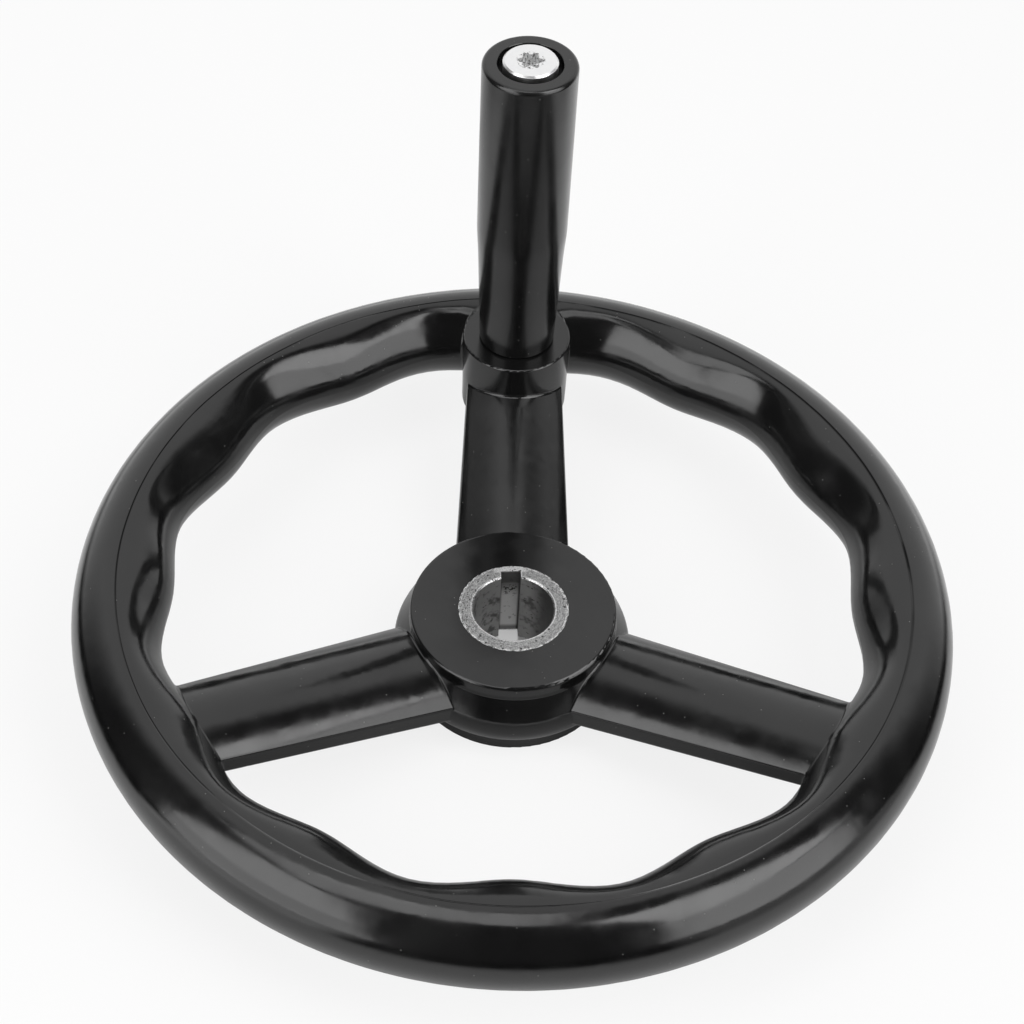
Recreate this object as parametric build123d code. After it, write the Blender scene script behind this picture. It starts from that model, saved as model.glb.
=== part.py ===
from build123d import *
import os
from math import acos, atan2, cos, hypot, radians, sin, sqrt

# Machine handwheel: a three-spoked wheel moulded in one piece of black
# phenolic, with a keyed steel bush in its hub and a revolving handle on its rim.
# Millimetres. +Z is the bore axis, towards the handle. The origin is on the
# bore axis at the hub's back face, which is what the wheel rests on.

# Rim: a round bar bent into a ring, scooped by finger waves on its inner side
wheel_d = 203.2
rim_bar_d = 22.4
rim_mid_z = 25.9
finger_waves = 12
rim_crest_swell = 0.26
rim_trough_scoop = 2.8
crest_fullness = 0.531
trough_fullness = 0.383
sections_per_wave = 4

# Hub: a short flange on top, a round belly that bulges out under the spokes,
# and a narrower foot, which the belly curves in to
hub_length = 22.0
flange_d = 48.5
flange_height = 3.0
flange_blend_r = 2.0
flange_edge_r = 0.8
foot_d = 48.7
foot_edge_r = 0.4
belly_beyond_foot = 3.58
belly_round_r = 7.0
belly_below_hub_top = 11.67

# Spokes: three, dished down from the rim to the hub. Round on top, with short
# sides that widen by their draft towards a flat underside.
spoke_count = 3
spoke_w_at_hub = 28.0
spoke_w_at_rim = 24.0
spoke_edge_below_hub_top = 7.91
spoke_edge_above_rim_mid = 1.94
spoke_root_inside_belly = 2.53
spoke_crown_r = 18.7
spoke_side_height = 4.5
spoke_side_draft = 0.35
spoke_edge_r = 1.0
spoke_root_fillet = 0.5
spoke_sunk_in_hub = 8.0
spoke_sunk_in_rim = 7.0
handle_azimuth = 90.0

# Boss on the handle's spoke, moulded with the wheel, level with the rim. The
# handle's axis lies inside the circle that runs along the middle of the rim.
handle_inside_rim_circle = 13.2
boss_wider_than_spoke = 3.2
boss_draft = 0.3
boss_height = 21.5
boss_above_rim = 0.1
boss_edge_r = 0.5
rim_joint_fillet = 0.8
boss_joint_fillet = 0.8

# Bush: turned steel, moulded into the hub, flush with both hub faces
bore_d = 19.05
bush_wall = 3.425
bore_chamfer = 0.3
key_width = 4.76
key_depth = 1.875
key_turn_from_handle = 3.5
bush_groove_width = 5.0
bush_groove_depth = 0.9

# Insert: threaded hexagon moulded into the boss, with a groove that holds it in
insert_across_flats = 12.0
insert_end_wall = 2.0
insert_groove_width = 3.0
insert_groove_depth = 0.8
thread_d = 6.0
thread_clearance = 0.03
hole_beyond_thread = 1.0

# Spindle: one shoulder screw, which the grip turns on
stem_d = 8.0
head_d = 12.7
head_height = 4.5
head_bevel = 0.4
head_above_grip_end = 0.8
thread_length = 13.0
thread_tip_chamfer = 0.8
thread_relief_length = 1.5
thread_relief_depth = 0.5
socket_across = 6.2
socket_core_d = 5.3
socket_lobe_r = 0.45
socket_flute_r = 0.75
socket_waist_d = 4.3
socket_depth = 3.0
socket_lobes = 6

# Grip: turned phenolic, thickest at its end. From there down to its foot it
# narrows in three tapers, the middle one a short shoulder.
grip_length = 82.8
grip_end_d = 22.15
grip_long_taper = 0.35
grip_shoulder_taper = 1.0
grip_foot_taper = 2.1
grip_foot_taper_height = 27.0
grip_shoulder_height = 8.0
grip_lower_blend_r = 150.0
grip_shoulder_blend_r = 60.0
grip_end_edge_r = 1.0
grip_foot_edge_r = 0.5
grip_running_clearance = 0.05
grip_gap_at_boss = 0.3
grip_gap_at_head = 0.2
room_round_head = 1.25
counterbore_edge_chamfer = 0.1

rim_r = (wheel_d - rim_bar_d) / 2
bar_r = rim_bar_d / 2
handle_r = rim_r - handle_inside_rim_circle
belly_r = foot_d / 2 + belly_beyond_foot
spoke_hub_station = belly_r - spoke_root_inside_belly
spoke_rim_station = rim_r - bar_r
boss_top_z = rim_mid_z + bar_r + boss_above_rim
bush_r = bore_d / 2 + bush_wall
hole_length = thread_length + hole_beyond_thread
insert_length = hole_length + insert_end_wall
grip_foot_z = boss_top_z + grip_gap_at_boss
grip_end_z = grip_foot_z + grip_length
head_top_z = grip_end_z + head_above_grip_end
head_under_z = head_top_z - head_height
counterbore_floor_z = head_under_z - grip_gap_at_head


def on_handle_axis(shape):
    """Carry a shape from the wheel's axis to the handle's axis."""
    x = handle_r * cos(radians(handle_azimuth))
    y = handle_r * sin(radians(handle_azimuth))
    return Pos(x, y, 0) * shape


def ring_outline(points):
    """Close a list of (radius, height) points into a face on the XZ plane."""
    corners = [Vector(radius, 0, height) for radius, height in points]
    return Face(Wire(Polyline(*corners, close=True).edges()))


def turned(points):
    """Turn a closed (radius, height) outline about the vertical axis."""
    return revolve(ring_outline(points), axis=Axis.Z, revolution_arc=360)


def corner_at(profile, radius, height):
    """The corner of a flat profile that is nearest to a (radius, height) point."""
    place = Vector(radius, 0, height)
    return profile.vertices().sort_by_distance(place)[0]


def rim_section(azimuth):
    """Cross-section of the rim: half a circle outside, finger wave inside."""
    crest_share = (1 + cos(radians(finger_waves * (azimuth - handle_azimuth)))) / 2
    depth = bar_r - rim_trough_scoop + (rim_trough_scoop + rim_crest_swell) * crest_share
    fullness = trough_fullness + (crest_fullness - trough_fullness) * crest_share
    outward = (cos(radians(azimuth)), sin(radians(azimuth)), 0)
    across = (sin(radians(azimuth)), -cos(radians(azimuth)), 0)
    plane = Plane(origin=(0, 0, rim_mid_z), x_dir=outward, z_dir=across)

    def at(radius, height):
        return plane.from_local_coords(Vector(radius, height, 0))

    top = at(rim_r, bar_r)
    bottom = at(rim_r, -bar_r)
    inside = at(rim_r - depth, 0)
    near_top = at(rim_r - fullness * depth, bar_r)
    near_bottom = at(rim_r - fullness * depth, -bar_r)
    above_inside = at(rim_r - depth, fullness * bar_r)
    below_inside = at(rim_r - depth, -fullness * bar_r)
    outer = ThreePointArc(top, at(rim_r + bar_r, 0), bottom)
    lower = Bezier(bottom, near_bottom, below_inside, inside)
    upper = Bezier(inside, above_inside, near_top, top)
    return Wire([outer, lower, upper])


def make_rim():
    """Loft the rim's sections round into one closed ring."""
    count = finger_waves * sections_per_wave
    sections = [rim_section(handle_azimuth + 360 / count * i) for i in range(count)]
    sections.append(sections[0])
    return Solid.make_loft(sections)


def make_hub():
    """Turn the solid hub: flange, round belly and foot."""
    flange_r = flange_d / 2
    neck_z = hub_length - flange_height
    foot_r = foot_d / 2
    round_r = belly_r - belly_round_r
    round_z = hub_length - belly_below_hub_top

    def on_belly(angle):
        radius = round_r + belly_round_r * cos(angle)
        return Vector(radius, 0, round_z + belly_round_r * sin(angle))

    # The taper under the flange runs on into the belly, which ends at the foot
    out = flange_r - round_r
    up = neck_z - round_z
    taper_end = atan2(up, out) - acos(belly_round_r / hypot(out, up))
    foot_end = -acos((foot_r - round_r) / belly_round_r)
    belly = ThreePointArc(on_belly(foot_end), on_belly((foot_end + taper_end) / 2), on_belly(taper_end))
    above = Polyline(on_belly(taper_end), (flange_r, 0, neck_z), (flange_r, 0, hub_length), (0, 0, hub_length))
    below = Polyline((0, 0, hub_length), (0, 0, 0), (foot_r, 0, 0), on_belly(foot_end))
    profile = Face(Wire([belly, *above.edges(), *below.edges()]))
    profile = fillet(corner_at(profile, flange_r, hub_length), flange_edge_r)
    profile = fillet(corner_at(profile, flange_r, neck_z), flange_blend_r)
    profile = fillet(corner_at(profile, foot_r, 0), foot_edge_r)
    return revolve(profile, axis=Axis.Z, revolution_arc=360)


def spoke_section(station):
    """Cross-section of a spoke at a distance from the wheel's axis."""
    share = (station - spoke_hub_station) / (spoke_rim_station - spoke_hub_station)
    low_half = (spoke_w_at_hub + (spoke_w_at_rim - spoke_w_at_hub) * share) / 2
    top_half = low_half - spoke_side_draft
    edge_at_hub = hub_length - spoke_edge_below_hub_top
    edge_at_rim = rim_mid_z + spoke_edge_above_rim_mid
    edge = edge_at_hub + (edge_at_rim - edge_at_hub) * share
    top = edge + spoke_crown_r - sqrt(spoke_crown_r ** 2 - top_half ** 2)
    low = edge - spoke_side_height
    plane = Plane(origin=(station, 0, 0), x_dir=(0, 1, 0), z_dir=(1, 0, 0))
    crown = ThreePointArc((top_half, edge), (0, top), (-top_half, edge))
    sides = Polyline((-top_half, edge), (-low_half, low), (low_half, low), (top_half, edge))
    face = Face(Wire([*crown.edges(), *sides.edges()]))
    return plane * fillet(face.vertices(), spoke_edge_r)


def make_spoke():
    """One straight spoke along +X, its ends sunk into the hub and the rim."""
    inner = spoke_section(spoke_hub_station - spoke_sunk_in_hub)
    outer = spoke_section(spoke_rim_station + spoke_sunk_in_rim)
    return loft([inner, outer], ruled=True)


def make_boss():
    """The handle's boss, with a little draft, its edges rounded."""
    top_r = (spoke_w_at_rim + boss_wider_than_spoke) / 2
    low_r = top_r - boss_draft
    low_z = boss_top_z - boss_height
    profile = ring_outline([
        (0, low_z),
        (low_r, low_z),
        (top_r, boss_top_z),
        (0, boss_top_z),
    ])
    profile = fillet(corner_at(profile, top_r, boss_top_z), boss_edge_r)
    profile = fillet(corner_at(profile, low_r, low_z), boss_edge_r)
    return on_handle_axis(revolve(profile, axis=Axis.Z, revolution_arc=360))


def bush_blank():
    """The bush's outside, with the groove that keys it into the moulding."""
    groove_r = bush_r - bush_groove_depth
    groove_low = (hub_length - bush_groove_width) / 2
    groove_high = (hub_length + bush_groove_width) / 2
    return turned([
        (0, 0),
        (bush_r, 0),
        (bush_r, groove_low),
        (groove_r, groove_low),
        (groove_r, groove_high),
        (bush_r, groove_high),
        (bush_r, hub_length),
        (0, hub_length),
    ])


def insert_blank():
    """The threaded insert's outside: a hexagon with a round groove at mid-length."""
    low_z = boss_top_z - insert_length
    hexagon = RegularPolygon(insert_across_flats / 2, 6, major_radius=False)
    bar = extrude(Plane.XY.offset(low_z) * hexagon, amount=insert_length)
    groove_low = boss_top_z - (insert_length + insert_groove_width) / 2
    around = Circle(insert_across_flats)
    core = Circle(insert_across_flats / 2 - insert_groove_depth)
    groove = extrude(Plane.XY.offset(groove_low) * (around - core), amount=insert_groove_width)
    return on_handle_axis(bar - groove)


def joined(body, added, fillet_r):
    """Fuse a piece of the moulding to the body and round the joint between them."""
    whole = body + added
    return fillet(new_edges(body, added, combined=whole), fillet_r)


def make_wheel():
    """Rim, hub, spokes and boss as one moulding, with seats for bush and insert."""
    hub = make_hub()
    step = 360 / spoke_count
    spokes = [Rot(0, 0, handle_azimuth + step * i) * make_spoke() for i in range(spoke_count)]
    body = hub + spokes
    body = fillet(new_edges(hub, *spokes, combined=body), spoke_root_fillet)
    body = joined(body, make_rim(), rim_joint_fillet)
    body = joined(body, make_boss(), boss_joint_fillet)
    body -= bush_blank()
    body -= insert_blank()
    return body


def make_bush():
    """The steel bush with its bore, end chamfers and one keyway."""
    bore_r = bore_d / 2
    mouth_r = bore_r + bore_chamfer
    hole = turned([
        (0, 0),
        (mouth_r, 0),
        (bore_r, bore_chamfer),
        (bore_r, hub_length - bore_chamfer),
        (mouth_r, hub_length),
        (0, hub_length),
    ])
    from_axis = (Align.MIN, Align.CENTER, Align.MIN)
    slot = Box(bore_r + key_depth, key_width, hub_length, align=from_axis)
    slot = Rot(0, 0, handle_azimuth + key_turn_from_handle) * slot
    return bush_blank() - hole - slot


def make_insert():
    """The insert with its blind threaded hole, drawn plain at the thread's size."""
    hole_r = thread_d / 2 + thread_clearance
    floor = Plane.XY.offset(boss_top_z - hole_length)
    hole = extrude(floor * Circle(hole_r), amount=hole_length)
    return insert_blank() - on_handle_axis(hole)


def socket_shape():
    """Six-lobed driver recess, seen from above."""
    shape = Circle(socket_core_d / 2)
    lobe_centre = socket_across / 2 - socket_lobe_r
    flute_centre = socket_waist_d / 2 + socket_flute_r
    shape += PolarLocations(lobe_centre, socket_lobes) * Circle(socket_lobe_r)
    half_step = 180 / socket_lobes
    shape -= PolarLocations(flute_centre, socket_lobes, start_angle=half_step) * Circle(socket_flute_r)
    return shape


def make_spindle():
    """Head, smooth stem and threaded end, turned as one, with the driver recess."""
    head_r = head_d / 2
    stem_r = stem_d / 2
    thread_r = thread_d / 2
    relief_r = thread_r - thread_relief_depth
    tip_z = boss_top_z - thread_length
    relief_z = boss_top_z - thread_relief_length
    screw = turned([
        (0, tip_z),
        (thread_r - thread_tip_chamfer, tip_z),
        (thread_r, tip_z + thread_tip_chamfer),
        (thread_r, relief_z),
        (relief_r, relief_z),
        (relief_r, boss_top_z),
        (stem_r, boss_top_z),
        (stem_r, head_under_z),
        (head_r, head_under_z),
        (head_r, head_top_z - head_bevel),
        (head_r - head_bevel, head_top_z),
        (0, head_top_z),
    ])
    recess = extrude(Plane.XY.offset(head_top_z - socket_depth) * socket_shape(), amount=socket_depth)
    return on_handle_axis(screw - recess)


def make_grip():
    """The grip: a turned outside, a running bore and a counterbore for the head."""
    end_r = grip_end_d / 2
    shoulder_r = end_r - grip_long_taper / 2
    lower_r = shoulder_r - grip_shoulder_taper / 2
    foot_r = lower_r - grip_foot_taper / 2
    lower_z = grip_foot_z + grip_foot_taper_height
    shoulder_z = lower_z + grip_shoulder_height
    profile = ring_outline([
        (0, grip_foot_z),
        (foot_r, grip_foot_z),
        (lower_r, lower_z),
        (shoulder_r, shoulder_z),
        (end_r, grip_end_z),
        (0, grip_end_z),
    ])
    profile = fillet(corner_at(profile, lower_r, lower_z), grip_lower_blend_r)
    profile = fillet(corner_at(profile, shoulder_r, shoulder_z), grip_shoulder_blend_r)
    profile = fillet(corner_at(profile, end_r, grip_end_z), grip_end_edge_r)
    profile = fillet(corner_at(profile, foot_r, grip_foot_z), grip_foot_edge_r)
    blank = revolve(profile, axis=Axis.Z, revolution_arc=360)
    bore_r = stem_d / 2 + grip_running_clearance
    recess_r = head_d / 2 + room_round_head
    hollow = turned([
        (0, grip_foot_z),
        (bore_r, grip_foot_z),
        (bore_r, counterbore_floor_z),
        (recess_r, counterbore_floor_z),
        (recess_r, grip_end_z - counterbore_edge_chamfer),
        (recess_r + counterbore_edge_chamfer, grip_end_z),
        (0, grip_end_z),
    ])
    return on_handle_axis(blank - hollow)


parts = {
    "wheel_body": make_wheel(),
    "hub_bush": make_bush(),
    "handle_insert": make_insert(),
    "handle_spindle": make_spindle(),
    "handle_grip": make_grip(),
}

os.makedirs("parts", exist_ok=True)
for name, shape in parts.items():
    export_step(shape, f"parts/{name}.step")
    print(name, round(shape.volume, 1))
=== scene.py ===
import bpy
from math import cos, degrees, pi, radians, sin

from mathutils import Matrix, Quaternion, Vector

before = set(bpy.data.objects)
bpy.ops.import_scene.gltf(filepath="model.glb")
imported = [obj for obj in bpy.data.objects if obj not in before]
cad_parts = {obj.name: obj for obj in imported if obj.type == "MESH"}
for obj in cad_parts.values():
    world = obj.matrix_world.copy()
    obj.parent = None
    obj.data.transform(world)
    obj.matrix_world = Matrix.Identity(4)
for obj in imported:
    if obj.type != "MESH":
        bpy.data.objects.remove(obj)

bpy.context.view_layer.update()


# ---------------------------------------------------------------------------
# The studio. A pale table, a white backdrop behind the wheel, a tall soft box
# on each side and one overhead, as for a catalogue picture of a black part.
# The gaps between them are what draws the dark bands on the glossy moulding.

class Channel:
    """A shader socket. Sums and products of channels add the Math nodes."""

    def __init__(self, tree, socket=None):
        self.tree = tree
        self.socket = socket

    def node(self, kind, settings=None, sockets=None, out=0):
        """Add a node: its settings first, then a value or a link per socket."""
        made = self.tree.nodes.new(kind)
        for name, value in (settings or {}).items():
            setattr(made, name, value)
        for key, value in (sockets or {}).items():
            if isinstance(value, Channel):
                self.tree.links.new(value.socket, made.inputs[key])
            else:
                made.inputs[key].default_value = value
        return Channel(self.tree, made.outputs[out] if made.outputs else None)

    def side(self, name):
        """Another output of the node that this channel comes from."""
        return Channel(self.tree, self.socket.node.outputs[name])

    def maths(self, operation, *others):
        """A Math node on this and up to two others."""
        sockets = dict(enumerate((self, *others)))
        return self.node("ShaderNodeMath", {"operation": operation}, sockets)

    def vector(self, operation, other=None, out="Vector"):
        """A Vector Math node on this and perhaps another."""
        sockets = {0: self} if other is None else {0: self, 1: other}
        return self.node("ShaderNodeVectorMath", {"operation": operation}, sockets, out)

    def split(self):
        """The three parts of a vector, X first."""
        parts = self.node("ShaderNodeSeparateXYZ", sockets={0: self})
        return parts, parts.side("Y"), parts.side("Z")

    def __add__(self, other):
        return self.maths("ADD", other)

    def __sub__(self, other):
        return self.maths("SUBTRACT", other)

    def __rsub__(self, other):
        return self * -1 + other

    def __mul__(self, other):
        return self.maths("MULTIPLY", other)

    __radd__ = __add__
    __rmul__ = __mul__

    def ease(self, low, high, at_low=0.0, at_high=1.0):
        """A smooth step from at_low to at_high while this goes from low to high."""
        settings = {"interpolation_type": "SMOOTHSTEP"}
        reach = {"From Min": low, "From Max": high, "To Min": at_low, "To Max": at_high}
        return self.node("ShaderNodeMapRange", settings, {"Value": self, **reach})


scene = bpy.context.scene
scene.view_settings.view_transform = "Standard"

# The backdrop is part of the world: white from the table up, and as wide as
# it stands behind the wheel, narrower on the right towards its top. The rest
# of the room is dark. Angles go round the wheel: 0 is behind it, 90 on its
# right. Each edge is a pair: where it is still dark, and where it is full.
white = (1, 1, 1, 1)
backdrop_left_deg = (-76, -40)
backdrop_right_deg = (78, 50)
backdrop_narrows_deg = (35, 75)
backdrop_narrower_by_deg = 28
backdrop_top_deg = (84, 72)
backdrop_glow = 0.84
horizon_glow = 0.95
horizon_deg = (0, 30)
room_glow = 0.04

world = bpy.data.worlds.new("studio")
scene.world = world
world.use_nodes = True
world.node_tree.nodes.clear()
sky = Channel(world.node_tree)
ray_x, ray_y, ray_z = sky.node("ShaderNodeTexCoord").side("Generated").split()
azimuth = ray_x.maths("ARCTAN2", ray_y) * degrees(1)
height = ray_z.maths("ARCSINE") * degrees(1)
cut_back = height.ease(*backdrop_narrows_deg, 0, backdrop_narrower_by_deg)
backdrop = azimuth.ease(*backdrop_left_deg) * (azimuth + cut_back).ease(*backdrop_right_deg)
backdrop = backdrop * height.ease(*backdrop_top_deg)
glow = backdrop * height.ease(*horizon_deg, horizon_glow, backdrop_glow) + room_glow
seen = sky.node("ShaderNodeLightPath").side("Is Camera Ray")
strength = seen + (1 - seen) * glow
lit = sky.node("ShaderNodeBackground", sockets={"Color": white, "Strength": strength})
sky.node("ShaderNodeOutputWorld", sockets={"Surface": lit})


def soft_box(name, middle, facing, roll_deg, wide, tall, glow, slide=0.0):
    """A lamp that glows evenly, out of sight, slid along its own tall side."""
    lamp = bpy.data.lights.new(name, "AREA")
    lamp.shape = "RECTANGLE"
    lamp.size = wide
    lamp.size_y = tall
    lamp.energy = glow * pi * wide * tall
    box = bpy.data.objects.new(name, lamp)
    scene.collection.objects.link(box)
    aim = Vector(facing).to_track_quat("-Z", "Y") @ Quaternion((0, 0, 1), radians(roll_deg))
    box.rotation_mode = "QUATERNION"
    box.rotation_quaternion = aim
    box.location = Vector(middle) + aim @ Vector((0, slide, 0))
    box.visible_camera = False


def beside(azimuth_deg, distance, height):
    """A place round the wheel."""
    turn = radians(azimuth_deg)
    return Vector((sin(turn) * distance, cos(turn) * distance, height))


def aimed_at_wheel(place, lean_deg):
    """The way a box at a place faces: level towards the wheel, leaned back."""
    level = -place.normalized() * Vector((1, 1, 0))
    lean = radians(lean_deg)
    return level.normalized() * cos(lean) + Vector((0, 0, sin(lean)))


# Each side box has a duller foot, where the lamp inside doesn't reach.
left_place = beside(azimuth_deg=-123.5, distance=1.2, height=1.2)
left_aim = aimed_at_wheel(left_place, lean_deg=12)
soft_box("left_soft_box", left_place, left_aim,
         roll_deg=6, wide=0.88, tall=2.05, glow=2.75, slide=0.225)
soft_box("left_soft_box_foot", left_place, left_aim,
         roll_deg=6, wide=0.88, tall=0.45, glow=2.0, slide=-1.025)

right_place = beside(azimuth_deg=117.0, distance=1.2, height=1.7)
right_aim = aimed_at_wheel(right_place, lean_deg=-5)
soft_box("right_soft_box", right_place, right_aim,
         roll_deg=-2, wide=1.1, tall=2.3, glow=3.7, slide=0.55)
soft_box("right_soft_box_foot", right_place, right_aim,
         roll_deg=-9, wide=1.1, tall=1.1, glow=2.4, slide=-1.15)

soft_box("overhead_soft_box", middle=(-0.305, -0.12, 1.5), facing=(0, 0, -1),
         roll_deg=0, wide=0.95, tall=0.64, glow=2.1)

# The table, as the camera sees it: mostly plain white, with enough of the lit
# surface left to keep the wheel's shadow, and all white far out, so that no
# horizon shows. What is seen of it through the bore is in shade.
table_size = 3.0
table_shade = (0.86, 0.86, 0.86, 1)
white_to_camera = 0.82
all_white_from = (0.35, 0.7)
bore_foot = (0.0118, 0.0125)
bore_foot_right = (0.0016, 0.0021)
white_in_bore = 0.42

# The table in the reflections: a small white top, in shade under the wheel,
# and past its edge the backdrop and the soft boxes reach down. Distances from
# the wheel's axis and along Y are in metres, from one end of an edge to the
# other. Angles go round the wheel.
matt_in_gloss = 0.5
top_edge = (0.215, 0.15)
top_glow_front = 0.8
top_glow_back = 1.3
top_glow_y = (-0.15, 0.15)
top_glow_left = 0.72
top_left_deg = (30, -50)
top_left_y = (0.04, 0.1)
under_wheel = (0.085, 0.115)
under_front = 0.12
under_back = 0.5
under_y = (-0.08, 0.06)
beyond_top = (0.2, 0.32)
beyond_left = 0.62
beyond_right = 1.12
beyond_deg = (-30, 50)
backdrop_foot_glow = 1.4
left_box_deg = ((-156, -146), (-108, -114))
left_foot_glow = 1.3
right_box_deg = ((92, 102), (152, 142))
right_foot_glow = 0.5

bpy.ops.object.select_all(action="DESELECT")
bpy.ops.mesh.primitive_plane_add(size=table_size, location=(0, 0, 0))
table = bpy.context.object
table.name = "table"
table_paint = bpy.data.materials.new("table_paint")
table_paint.use_nodes = True
table_paint.node_tree.nodes.clear()
paint = Channel(table_paint.node_tree)
path = paint.node("ShaderNodeLightPath")
to_camera = path.side("Is Camera Ray")
in_gloss = path.side("Is Glossy Ray").maths("MAXIMUM", path.side("Is Transmission Ray"))
spot = paint.node("ShaderNodeTexCoord").side("Object")
place_x, place_y, _ = spot.split()
out_to = spot.vector("LENGTH", out="Value")
around = place_x.maths("ARCTAN2", place_y) * degrees(1)

near_edge = around.ease(*beyond_deg, beyond_left, beyond_right)
past_edge = around.ease(*backdrop_left_deg) * around.ease(*backdrop_right_deg)
past_edge = past_edge * out_to.ease(*beyond_top, near_edge, backdrop_foot_glow)
for (start, end), foot_glow in ((left_box_deg, left_foot_glow), (right_box_deg, right_foot_glow)):
    past_edge = past_edge + around.ease(*start) * around.ease(*end) * foot_glow
top_glow = place_y.ease(*top_glow_y, top_glow_front, top_glow_back)
duller = place_y.ease(*top_left_y) * around.ease(*top_left_deg)
top_glow = top_glow * (duller * (top_glow_left - 1) + 1)
shaded = place_y.ease(*under_y, under_front, under_back)
top_glow = top_glow * out_to.ease(*under_wheel, shaded, 1)
on_top = out_to.ease(*top_edge)
gloss_glow = on_top * top_glow + (1 - on_top) * past_edge

in_bore = out_to.ease(*bore_foot, 1, 0)
white_share = out_to.ease(*all_white_from, white_to_camera, 1)
white_share = white_share * (1 - in_bore * place_x.ease(*bore_foot_right, 1 - white_in_bore, 1))
share = to_camera * white_share + in_gloss * (1 - on_top * matt_in_gloss)
matt = paint.node("ShaderNodeBsdfDiffuse", sockets={"Color": table_shade})
strength = to_camera + in_gloss * gloss_glow
glowing = paint.node("ShaderNodeEmission", sockets={"Color": white, "Strength": strength})
mixed = paint.node("ShaderNodeMixShader", sockets={0: share, 1: matt, 2: glowing})
paint.node("ShaderNodeOutputMaterial", sockets={"Surface": mixed})
table.data.materials.append(table_paint)

# The camera looks down at the wheel from the front, a little left of centre.
camera_place = (-0.01394, -0.32913, 0.41639)
camera_tilt_deg = (42.3267, -2.1083, 0.1642)
camera_lens = 77.159
camera_sensor = 36.0

camera = bpy.data.objects.new("camera", bpy.data.cameras.new("camera"))
scene.collection.objects.link(camera)
camera.data.lens = camera_lens
camera.data.sensor_width = camera_sensor
camera.location = camera_place
camera.rotation_euler = [radians(angle) for angle in camera_tilt_deg]
scene.camera = camera


# ---------------------------------------------------------------------------
# The wheel. One compression moulding in black phenolic: the wavy rim, three
# crowned spokes, the hub and the handle's boss. Its gloss comes straight from
# the mould, so it is a little uneven, with a fine seam round the rim where the
# mould closed and a few grains of dust.

MM = 0.001
phenolic_black = (0.0045, 0.0045, 0.0046, 1)
phenolic_bloom = (0.0085, 0.0085, 0.0085, 1)
phenolic_ior = 1.6
# Black for painted shade, mixed in along the rim's seam.
painted_shade_black = (0.004, 0.004, 0.004, 1)
gloss_roughness = (0.12, 0.2)
bloom_per_mm = 0.045
bloom_edge = (0.35, 0.75)
flow_per_mm = 0.16
flow_height_mm = 0.02
grain_per_mm = 1.4
grain_height_mm = 0.0006
dust_grey = (0.11, 0.11, 0.105, 1)
dust_cell_mm = 2.1
dust_r_mm = 0.13
dust_share = 0.45
dust_roughness = 0.4
noise_middle = (0.3, 0.7)

# The seam is a shallow groove that wanders a little. Towards the back it also
# has a line of painted shade, wider on the right, that comes and goes.
seam_r_mm = 90.7
seam_half_width_mm = 0.25
seam_depth_mm = 0.1
seam_wander_mm = 0.3
wander_per_mm = 0.05
seam_shade_half_width_mm = 0.32
seam_shade_core_mm = 0.08
seam_shade_right_mm = (-30, 40)
seam_shade_right_scale = 0.62
seam_shade_from_y_mm = (-55, 10)
seam_shade_dark = 0.9
seam_shade_fade_per_mm = 0.06
seam_shade_fade_edge = (0.3, 0.5)
seam_shade_faded = 0.5


def new_finish(name):
    """A material to build up, and the point on the surface in millimetres."""
    made = bpy.data.materials.new(name)
    made.use_nodes = True
    made.node_tree.nodes.clear()
    spot = Channel(made.node_tree).node("ShaderNodeTexCoord").side("Object")
    point = spot.node("ShaderNodeVectorMath", {"operation": "SCALE"}, {0: spot, "Scale": 1 / MM})
    return made, point


def noise(point, per_mm, detail=2.0):
    """Soft noise from 0 to 1, this many times to the millimetre."""
    sockets = {"Vector": point, "Scale": per_mm, "Detail": detail}
    return point.node("ShaderNodeTexNoise", sockets=sockets)


def specks(point, cell_mm, r_mm, share, soft=0.15):
    """Small round spots, in a share of the cells of this size: 1 on a spot."""
    cell = point.node("ShaderNodeTexVoronoi", sockets={"Vector": point, "Scale": 1 / cell_mm})
    draw = point.node("ShaderNodeSeparateColor", sockets={0: cell.side("Color")})
    reach = r_mm / cell_mm
    inside = cell.ease(reach * (1 + soft), reach * (1 - soft))
    return inside * draw.maths("LESS_THAN", share)


def blend(share, first, second):
    """A colour from the first to the second as share goes from 0 to 1."""
    sockets = {0: share, 6: first, 7: second}
    return share.node("ShaderNodeMix", {"data_type": "RGBA"}, sockets, out=2)


def relief(height_mm):
    """The surface normal over a height in millimetres."""
    return height_mm.node("ShaderNodeBump", sockets={"Distance": MM, "Height": height_mm})


def put_on(node_name, made, point, sockets, painted_shade=0.0):
    """Close a material with a Principled surface, with black painted shade mixed in by a mask, on a
    node.
    """
    skin = point.node("ShaderNodeBsdfPrincipled", sockets=sockets)
    dark = point.node("ShaderNodeBsdfDiffuse", sockets={"Color": painted_shade_black})
    with_painted_shade = point.node("ShaderNodeMixShader", sockets={0: painted_shade, 1: skin, 2: dark})
    point.node("ShaderNodeOutputMaterial", sockets={"Surface": with_painted_shade})
    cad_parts[node_name].data.materials[0] = made


def gloss_moulding(point, lines_mm, roughness):
    """The moulding's sockets: black, uneven gloss, dust, and lines as a height."""
    bloom = noise(point, bloom_per_mm).ease(*bloom_edge)
    dust = specks(point, dust_cell_mm, dust_r_mm, dust_share)
    flow = noise(point, flow_per_mm) * flow_height_mm
    grain = noise(point, grain_per_mm) * grain_height_mm
    uneven = noise(point, flow_per_mm).ease(*noise_middle, *roughness)
    return {
        "Base Color": blend(dust, blend(bloom, phenolic_black, phenolic_bloom), dust_grey),
        "Roughness": uneven + dust * dust_roughness,
        "Normal": relief(flow + grain + lines_mm),
        "IOR": phenolic_ior,
    }


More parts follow.
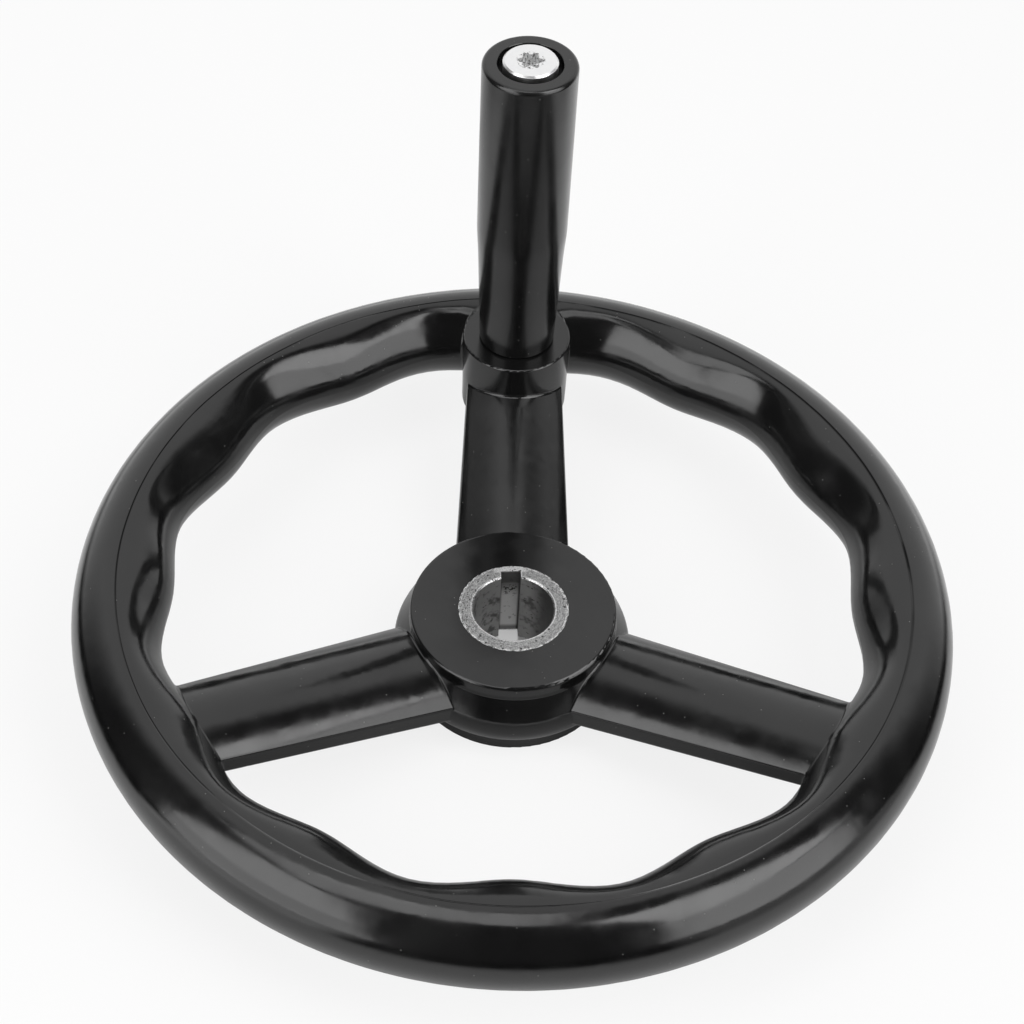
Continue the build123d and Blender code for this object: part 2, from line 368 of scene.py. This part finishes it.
wheel_finish, point = new_finish("black_phenolic")
from_axis = point.vector("MULTIPLY", (1, 1, 0)).vector("LENGTH", out="Value")
wander = noise(point, wander_per_mm) * seam_wander_mm
off_seam = (from_axis + wander - (seam_r_mm + seam_wander_mm / 2)).maths("ABSOLUTE")
seam = off_seam.ease(0, seam_half_width_mm, -seam_depth_mm, 0)
place_x, place_y, _ = point.split()
# Painted shade along the seam: a dark line towards the back, wider on the right, fading in and out
# with noise.
narrowed = off_seam * place_x.ease(*seam_shade_right_mm, 1, seam_shade_right_scale)
painted_shade = narrowed.ease(seam_shade_half_width_mm, seam_shade_core_mm)
painted_shade = painted_shade * place_y.ease(*seam_shade_from_y_mm, 0, seam_shade_dark)
painted_shade = painted_shade * noise(point, seam_shade_fade_per_mm).ease(*seam_shade_fade_edge, seam_shade_faded, 1)
put_on("wheel_body", wheel_finish, point, gloss_moulding(point, seam, gloss_roughness), painted_shade)


# ---------------------------------------------------------------------------
# The bush. A turned steel sleeve moulded into the hub, faced off level with
# it after moulding and broached for the key. The face is bright and pitted,
# with burrs where the cut left the edges and a painted highlight round the
# bore. The bore is dull and stained, with painted shade inside it.

hub_top_mm = 22.0
bore_r_mm = 9.525
bush_r_mm = 12.95
keyway_floor_mm = 11.4
keyway_half_mm = 2.38
keyway_turn = radians(3.5)


def grey(shade):
    """A neutral colour."""
    return shade, shade, shade, 1


bush_finish, point = new_finish("turned_steel")
across, along, up = point.split()
from_axis = (across * across + along * along).maths("SQRT")
around = along.maths("ARCTAN2", across)
from_key = (across * cos(keyway_turn) + along * sin(keyway_turn)).maths("ABSOLUTE")
to_key = along * cos(keyway_turn) - across * sin(keyway_turn)

# The faced end: turning marks that run round it, with a mottle over them.
# Pairs in millimetres below are the two ends of a soft edge.
face_dark = grey(0.22)
face_light = (grey(0.47), grey(0.62))
face_edge_mm = (0.4, 0.25)
marks_per_mm = 4.6
marks_per_radian = 12
marks_along_axis = 0.4
mottle_per_mm = 3.6
marks_in_grain = 0.6
grain_edge = (0.38, 0.6)
mottle_edge = (0.4, 0.7)

on_face = up.ease(*(hub_top_mm - edge for edge in face_edge_mm)) + up.ease(*face_edge_mm)
turned = {"X": from_axis * marks_per_mm, "Y": around * marks_per_radian, "Z": up * marks_along_axis}
turned = point.node("ShaderNodeCombineXYZ", sockets=turned)
turning = noise(turned, 1.0, detail=3.0)
mottle = noise(point, mottle_per_mm, detail=3.0)
grain = (turning * marks_in_grain + mottle * (1 - marks_in_grain)).ease(*grain_edge)
face = blend(grain, face_dark, blend(mottle.ease(*mottle_edge), *face_light))

# A painted highlight, bright round the bore's edge. Burrs, bright where the
# edge was cut: along the keyway's two sides and end, and here and there round
# the outside, where the moulding also left black nicks.
burr_and_highlight_bright = grey(0.95)
bore_highlight_mm = (0.75, 0.3)
key_burr_mm = (0.4, 0.1)
key_burr_from_mm = (-0.6, 0.0)
key_burr_end_mm = (0.4, 0.15)
over_key_side_mm = (2.2, 0.6)
over_key_end_mm = (-0.7, 0.0)
over_key_share = 0.75
ragged_scale = 1.2
rim_burr_mm = (-0.65, -0.35)
rim_burr_edge = (0.49, 0.54)
nick_mm = (-0.34, -0.16)
nick_edge = (0.46, 0.42)
burr_and_highlight_fade_edge = (0.35, 0.5)
burr_and_highlight_faded = 0.5


def past(distance, start, edge_mm):
    """A soft edge on a distance, both its ends given from a starting size."""
    return distance.ease(*(start + end for end in edge_mm))


# Painted highlight: a bright ring on the face round the bore.
bore_highlight = past(from_axis, bore_r_mm, bore_highlight_mm)
key_burr = past(from_key, keyway_half_mm, key_burr_mm) * past(to_key, bore_r_mm, key_burr_from_mm)
key_burr = key_burr * past(to_key, keyway_floor_mm, key_burr_end_mm)
over_key = past(from_key, keyway_half_mm, over_key_side_mm)
over_key = over_key * past(to_key, keyway_floor_mm, over_key_end_mm) * over_key_share
ragged = noise(turned, ragged_scale, detail=3.0)
rim_burr = past(from_axis, bush_r_mm, rim_burr_mm) * ragged.ease(*rim_burr_edge)
burrs_and_highlight = bore_highlight
for other in (key_burr, rim_burr, over_key):
    burrs_and_highlight = burrs_and_highlight.maths("MAXIMUM", other)
burrs_and_highlight = burrs_and_highlight * mottle.ease(*burr_and_highlight_fade_edge, burr_and_highlight_faded, 1)
nicks = past(from_axis, bush_r_mm, nick_mm) * ragged.ease(*nick_edge)
face = blend(burrs_and_highlight, face, burr_and_highlight_bright)

# The chamfer at the bore, and the pits: fine ones that are thickest on the
# left, and a few larger ones all over.
chamfer_greys = (grey(0.25), grey(0.7))
chamfer_mm = (0.34, 0.26)
chamfer_edge = (0.4, 0.58)
pit_dark = grey(0.045)
fine_pits = {"cell_mm": 0.5, "r_mm": 0.17, "share": 0.6}
large_pits = {"cell_mm": 1.3, "r_mm": 0.3, "share": 0.35}
pitted_per_mm = 0.55
pitted_edge = (0.42, 0.7)
pitted_share = 0.5
pitted_left_mm = (-4, -12)
pitted_left_share = 0.35
pitted_shows = (0.15, 0.5)

chamfer = past(from_axis, bore_r_mm, chamfer_mm)
face = blend(chamfer, face, blend(mottle.ease(*chamfer_edge), *chamfer_greys))
pitted = noise(point, pitted_per_mm).ease(*pitted_edge) * pitted_share
pitted = pitted + across.ease(*pitted_left_mm) * pitted_left_share
pits = specks(point, **fine_pits) * pitted.ease(*pitted_shows) + specks(point, **large_pits)
pits = pits.maths("MINIMUM", 1)
face = blend(pits.maths("MAXIMUM", nicks), face, pit_dark)

# The bore's wall: dull, with painted shade that darkens it to the right, and stains in patches.
# Stain colour, also used for the painted shade at the keyway's foot.
stain_and_shade = (0.05, 0.049, 0.047, 1)
wall_grey = (0.37, 0.368, 0.365, 1)
wall_right_shade = (0.09, 0.089, 0.088, 1)
wall_right_shade_mm = (3.5, 8.0)
patch_per_mm = 0.42
patch_edge = (0.3, 0.5)
patch_least = 0.25
spots_per_mm = 1.15
spots_edge = (0.58, 0.65)
spot_groups_per_mm = 0.3
spot_groups_edge = (0.48, 0.6)
spots_on_wall = 0.8
spots_on_floor = 0.4

patches = noise(point, patch_per_mm, detail=4.0)
spots = noise(point, spots_per_mm, detail=3.0).ease(*spots_edge)
spots = spots * noise(point, spot_groups_per_mm).ease(*spot_groups_edge)
wall = blend(patches.ease(*patch_edge, patch_least, 1), stain_and_shade, wall_grey)
# Painted shade: the wall darker towards the right.
wall = blend(across.ease(*wall_right_shade_mm), wall, wall_right_shade)

# The keyway's floor: cleaner, with painted shade that darkens its upper third
# and is darkest right under the faced end, in its corners and at its foot, and with a rusty patch.
floor_grey = (0.76, 0.757, 0.752, 1)
floor_upper_shade = (0.26, 0.259, 0.256, 1)
floor_shade_under_face = (0.12, 0.119, 0.118, 1)
floor_corner_shade = (0.1, 0.099, 0.098, 1)
on_floor_mm = (0.6, 0.9)
upper_shade_mm = (-9.5, -4.5)
under_face_shade_mm = (-4.6, -3.8)
corner_shade_mm = (1.7, keyway_half_mm)
foot_shade_mm = (2.6, 1.2)
foot_shade_share = 0.7
rust_per_mm = 1.6
rust_edge = (0.5, 0.58)
rust_low_mm = (13.0, 14.5)
rust_high_mm = (17.5, 16.5)
rust_side_mm = (2.0, 1.2)

# Painted shade on the keyway's floor: its upper third, under the faced end, its corners and its
# foot.
floor = blend(past(up, hub_top_mm, upper_shade_mm), floor_grey, floor_upper_shade)
floor = blend(past(up, hub_top_mm, under_face_shade_mm), floor, floor_shade_under_face)
floor = blend(from_key.ease(*corner_shade_mm), floor, floor_corner_shade)
floor = blend(up.ease(*foot_shade_mm) * foot_shade_share, floor, stain_and_shade)
rust = noise(point, rust_per_mm, detail=3.0).ease(*rust_edge)
rust = rust * up.ease(*rust_low_mm) * up.ease(*rust_high_mm) * from_key.ease(*rust_side_mm)
floor = blend((spots * spots_on_floor).maths("MAXIMUM", rust), floor, stain_and_shade)
on_floor = past(to_key, bore_r_mm, on_floor_mm)
inside = blend(on_floor, blend(spots * spots_on_wall, wall, stain_and_shade), floor)

# The steel itself: less of a metal where it is stained or pitted, and rougher.
metal_less_stained = 0.25
metal_less_pitted = 0.6
steel_roughness = 0.34
rougher_mottled = 0.16
rougher_stained = 0.12
smoother_burrs_and_highlight = 0.08
marks_mm = 0.012
pit_depth_mm = 0.04
stain_height_mm = 0.04

stained = 1 - on_face
roughness = steel_roughness + mottle * rougher_mottled + stained * rougher_stained
height_mm = turning * marks_mm + mottle * marks_mm - pits * pit_depth_mm
put_on("hub_bush", bush_finish, point, {
    "Base Color": blend(on_face, inside, face),
    "Metallic": 1 - stained * metal_less_stained - pits * on_face * metal_less_pitted,
    "Roughness": roughness - burrs_and_highlight * smoother_burrs_and_highlight,
    "Normal": relief(height_mm + patches * stained * stain_height_mm),
})


# ---------------------------------------------------------------------------
# The insert. A hexagon of free-cutting brass, grooved, drilled and threaded,
# and moulded into the boss to take the handle's screw. It doesn't show.

brass = (0.6, 0.43, 0.17, 1)
brass_tarnish = (0.36, 0.25, 0.1, 1)
tarnish_per_mm = 0.3
tarnish_edge = (0.4, 0.7)
tool_marks_per_mm = (0.2, 0.2, 6)
tool_marks_mm = 0.01
brass_roughness = (0.24, 0.4)

insert_finish, point = new_finish("turned_brass")
tool_marks = noise(point.vector("MULTIPLY", tool_marks_per_mm), 1.0)
tarnish = noise(point, tarnish_per_mm).ease(*tarnish_edge)
put_on("handle_insert", insert_finish, point, {
    "Base Color": blend(tarnish, brass, brass_tarnish),
    "Metallic": 1.0,
    "Roughness": tool_marks.ease(*noise_middle, *brass_roughness),
    "Normal": relief(tool_marks * tool_marks_mm),
})


# ---------------------------------------------------------------------------
# The spindle. A zinc-plated shoulder screw that the grip turns on. Its head
# is bright, and the six-lobed recess is chewed by the driver.

spindle_y_mm = 77.2
head_top_mm = 121.1
recess_r_mm = 3.1
zinc = (0.97, 0.97, 0.97, 1)
zinc_dull = (0.94, 0.94, 0.945, 1)
zinc_roughness = (0.26, 0.4)
zinc_roughness_scratched = 0.06
cloud_per_mm = 0.5
cloud_edge = (0.35, 0.7)
scratches_per_mm = 1.7
scratch_depth_mm = 0.006
on_head_mm = (-5.5, -4.5)

# Round the recess the driver slipped, and in it the plating is half gone.
zinc_worn = grey(0.16)
recess_greys = (grey(0.9), grey(0.4))
slipped_outer_mm = (0.35, -0.1)
slipped_inner_mm = (1.7, 2.5)
slipped_edge = (0.52, 0.6)
slipped_depth_mm = 0.05
recess_side_mm = (0.0, -0.4)
recess_below_mm = (-0.05, -0.3)
recess_edge = (0.5, 0.6)
metal_less_slipped = 0.5
metal_less_recess = 0.3

spindle_finish, point = new_finish("zinc_plate")
side, back, up = point.split()
back = back - spindle_y_mm
from_stem = (side * side + back * back).maths("SQRT")
cloud = noise(point, cloud_per_mm, detail=3.0)
scratches = noise(point, scratches_per_mm, detail=4.0)
on_head = past(up, head_top_mm, on_head_mm)
slipped = past(from_stem, recess_r_mm, slipped_outer_mm) * from_stem.ease(*slipped_inner_mm)
slipped = slipped * scratches.ease(*slipped_edge) * on_head
recess = past(from_stem, recess_r_mm, recess_side_mm) * past(up, head_top_mm, recess_below_mm)
recess = recess * on_head
plate = blend(cloud.ease(*cloud_edge), zinc, zinc_dull)
plate = blend(recess, plate, blend(scratches.ease(*recess_edge), *recess_greys))
roughness = cloud.ease(*noise_middle, *zinc_roughness) + scratches * zinc_roughness_scratched
put_on("handle_spindle", spindle_finish, point, {
    "Base Color": blend(slipped, plate, zinc_worn),
    "Metallic": 1 - slipped * metal_less_slipped - recess * metal_less_recess,
    "Roughness": roughness,
    "Normal": relief(scratches * scratch_depth_mm - slipped * slipped_depth_mm),
})


# ---------------------------------------------------------------------------
# The grip. A phenolic sleeve, moulded and then turned, that runs free on the
# spindle. It is black like the wheel and a little less glossy, with no seam.

grip_roughness = (0.19, 0.24)
lathe_per_mm = (0.05, 0.05, 1.5)
lathe_mm = 0.0008

grip_finish, point = new_finish("black_phenolic_grip")
lathe = noise(point.vector("MULTIPLY", lathe_per_mm), 1.0) * lathe_mm
put_on("handle_grip", grip_finish, point, gloss_moulding(point, lathe, grip_roughness))


bpy.context.view_layer.update()
